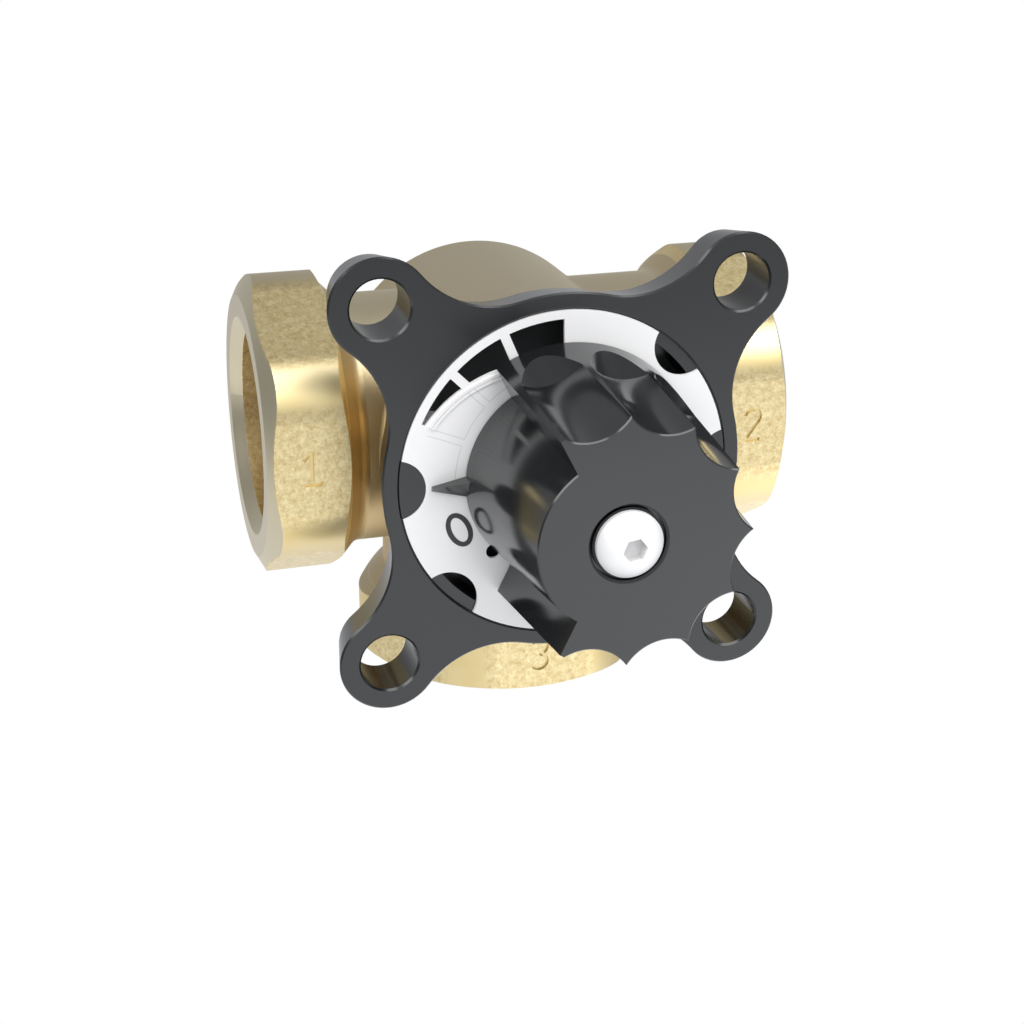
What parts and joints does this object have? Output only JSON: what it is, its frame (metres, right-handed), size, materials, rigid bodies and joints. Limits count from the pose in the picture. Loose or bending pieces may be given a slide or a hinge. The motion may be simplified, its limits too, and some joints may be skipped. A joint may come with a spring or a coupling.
{
  "type": "three-way mixing valve",
  "caption": "Brass rotary mixing valve with hexagonal threaded ports, a dark lugged cover, a white scale disc and a fluted hand knob.",
  "frame": {"origin": "on the ground under the middle of the valve's bounding box, with port 3's face on the ground", "axes": "-Y out of the knob along the stem, -X out of port 1, +X out of port 2, -Z out of port 3"},
  "size_m": [0.082, 0.0864, 0.0749],
  "materials": {
    "brass": "cast and shot-blasted, machined at the mouths",
    "rotor_brass": "machined",
    "cover_black": "satin moulded",
    "disc_white": "smooth moulded",
    "knob_black": "glossy flutes, satin front",
    "plated_steel": "bright zinc plated",
    "dark_steel": "blackened",
    "stainless": "turned",
    "adapter_plastic": "moulded",
    "bush_plastic": "machined bearing plastic",
    "seal_rubber": "moulded seal"
  },
  "bodies": {
    "valve": {"valve_body": "brass", "front_cover": "cover_black", "scale_disc": "disc_white", "front_bush": "bush_plastic", "rear_bush": "bush_plastic", "thrust_washer": "bush_plastic", "cover_seal": "seal_rubber", "cover_screw_1": "plated_steel", "cover_screw_2": "plated_steel", "cover_screw_3": "plated_steel", "cover_screw_4": "plated_steel"},
    "knob_and_rotor": {"knob": "knob_black", "knob_screw": "plated_steel", "knob_washer": "dark_steel", "knob_adapter": "adapter_plastic", "stem": "stainless", "rotor": "rotor_brass", "rotor_pin": "stainless", "stem_seal_inner": "seal_rubber", "stem_seal_outer": "seal_rubber", "retaining_clip": "dark_steel"}
  },
  "joints": [
    {"name": "knob_turn", "type": "hinge", "parent": "valve", "child": "knob_and_rotor", "pos_m": [0, 0, 0.041], "axis": [0, 1, 0], "range_deg": [0, 90]}
  ]
}
